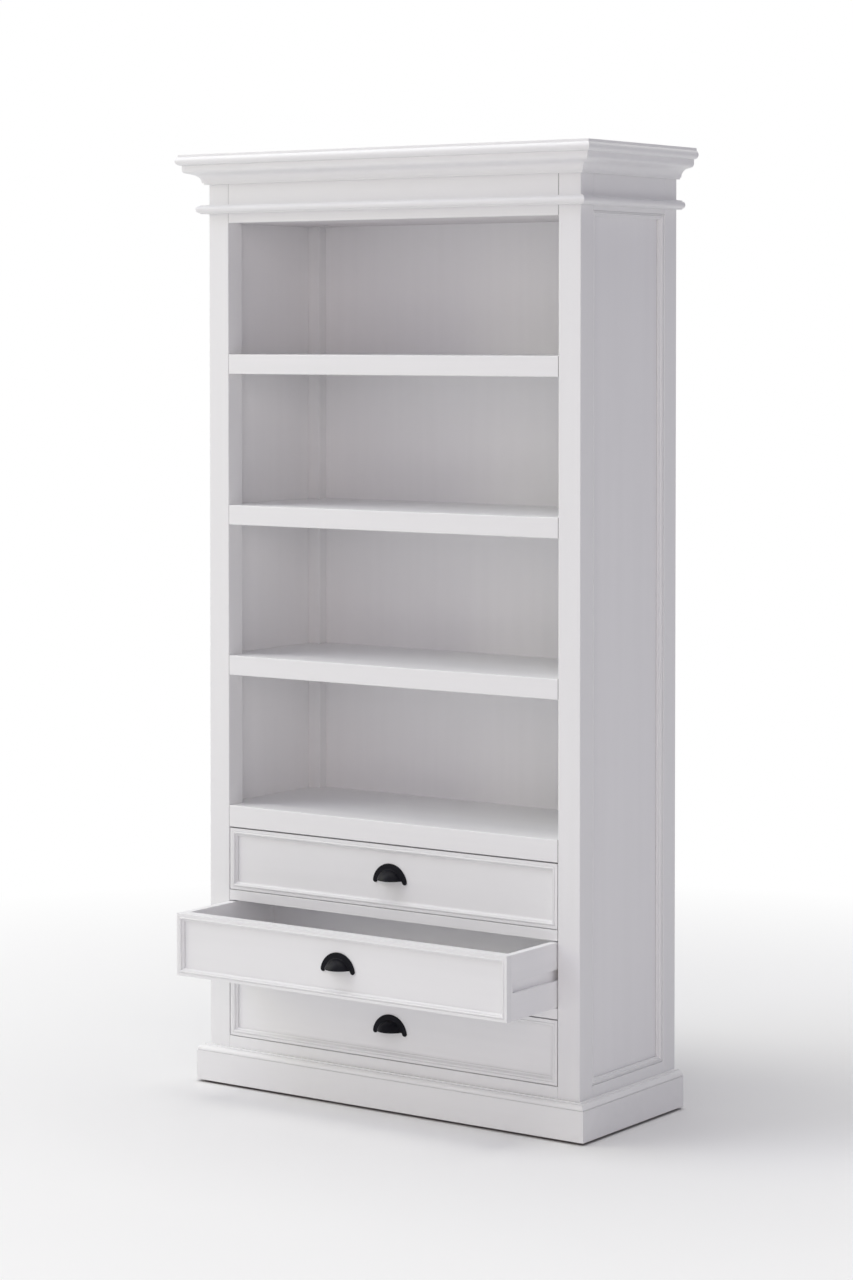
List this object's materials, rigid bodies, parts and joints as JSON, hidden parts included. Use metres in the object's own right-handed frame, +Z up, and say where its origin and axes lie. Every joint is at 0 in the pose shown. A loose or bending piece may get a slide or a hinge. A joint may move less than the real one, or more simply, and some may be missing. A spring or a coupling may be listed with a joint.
{
  "type": "bookcase with drawers",
  "caption": "Tall white panelled bookcase with a cornice and a plinth: open shelves over a stack of inset drawers with black cup pulls.",
  "frame": {"origin": "on the floor plane under the centre of the carcass, at the underside of the glides", "axes": "+Z up, -Y out of the front of the bookcase, +X to the right seen from the front"},
  "size_m": [1, 0.538, 1.9],
  "materials": {
    "frame_paint": "satin white paint",
    "panel_paint": "satin white paint on thin board",
    "drawer_box_paint": "matt white paint",
    "runner_wood": "bare waxed hardwood",
    "pull_black": "satin black",
    "screw_steel": "zinc plated",
    "glide_plastic": "matt"
  },
  "bodies": {
    "carcass": {"front_post_left": "frame_paint", "front_post_right": "frame_paint", "rear_post_left": "frame_paint", "rear_post_right": "frame_paint", "side_top_rail_left": "frame_paint", "side_top_rail_right": "frame_paint", "side_bottom_rail_left": "frame_paint", "side_bottom_rail_right": "frame_paint", "side_panel_left": "panel_paint", "side_panel_right": "panel_paint", "side_moulding_left": "frame_paint", "side_moulding_right": "frame_paint", "frieze_rail": "frame_paint", "bottom_rail": "frame_paint", "rear_top_rail": "frame_paint", "rear_bottom_rail": "frame_paint", "back_panel": "panel_paint", "bottom_panel": "panel_paint", "ceiling_panel": "panel_paint", "upper_drawer_rail": "frame_paint", "lower_drawer_rail": "frame_paint", "drawer_deck": "frame_paint", "lower_shelf": "frame_paint", "middle_shelf": "frame_paint", "upper_shelf": "frame_paint", "plinth_front": "frame_paint", "plinth_left": "frame_paint", "plinth_right": "frame_paint", "cornice_front": "frame_paint", "cornice_left": "frame_paint", "cornice_right": "frame_paint", "neck_moulding": "frame_paint", "top_board": "frame_paint", "glides": "glide_plastic", "runners_left": "runner_wood", "runners_right": "runner_wood"},
    "upper_drawer": {"upper_drawer_front": "frame_paint", "upper_drawer_moulding": "frame_paint", "upper_drawer_side_right": "drawer_box_paint", "upper_drawer_side_left": "drawer_box_paint", "upper_drawer_back": "drawer_box_paint", "upper_drawer_bottom": "drawer_box_paint", "upper_drawer_pull": "pull_black", "upper_drawer_pull_screws": "screw_steel"},
    "middle_drawer": {"middle_drawer_front": "frame_paint", "middle_drawer_moulding": "frame_paint", "middle_drawer_side_right": "drawer_box_paint", "middle_drawer_side_left": "drawer_box_paint", "middle_drawer_back": "drawer_box_paint", "middle_drawer_bottom": "drawer_box_paint", "middle_drawer_pull": "pull_black", "middle_drawer_pull_screws": "screw_steel"},
    "lower_drawer": {"lower_drawer_front": "frame_paint", "lower_drawer_moulding": "frame_paint", "lower_drawer_side_right": "drawer_box_paint", "lower_drawer_side_left": "drawer_box_paint", "lower_drawer_back": "drawer_box_paint", "lower_drawer_bottom": "drawer_box_paint", "lower_drawer_pull": "pull_black", "lower_drawer_pull_screws": "screw_steel"}
  },
  "joints": [
    {"name": "upper_drawer_slide", "type": "slide", "parent": "carcass", "child": "upper_drawer", "axis": [0, -1, 0], "range_m": [0, 0.24]},
    {"name": "middle_drawer_slide", "type": "slide", "parent": "carcass", "child": "middle_drawer", "axis": [0, -1, 0], "range_m": [-0.172, 0.068]},
    {"name": "lower_drawer_slide", "type": "slide", "parent": "carcass", "child": "lower_drawer", "axis": [0, -1, 0], "range_m": [0, 0.24]}
  ]
}
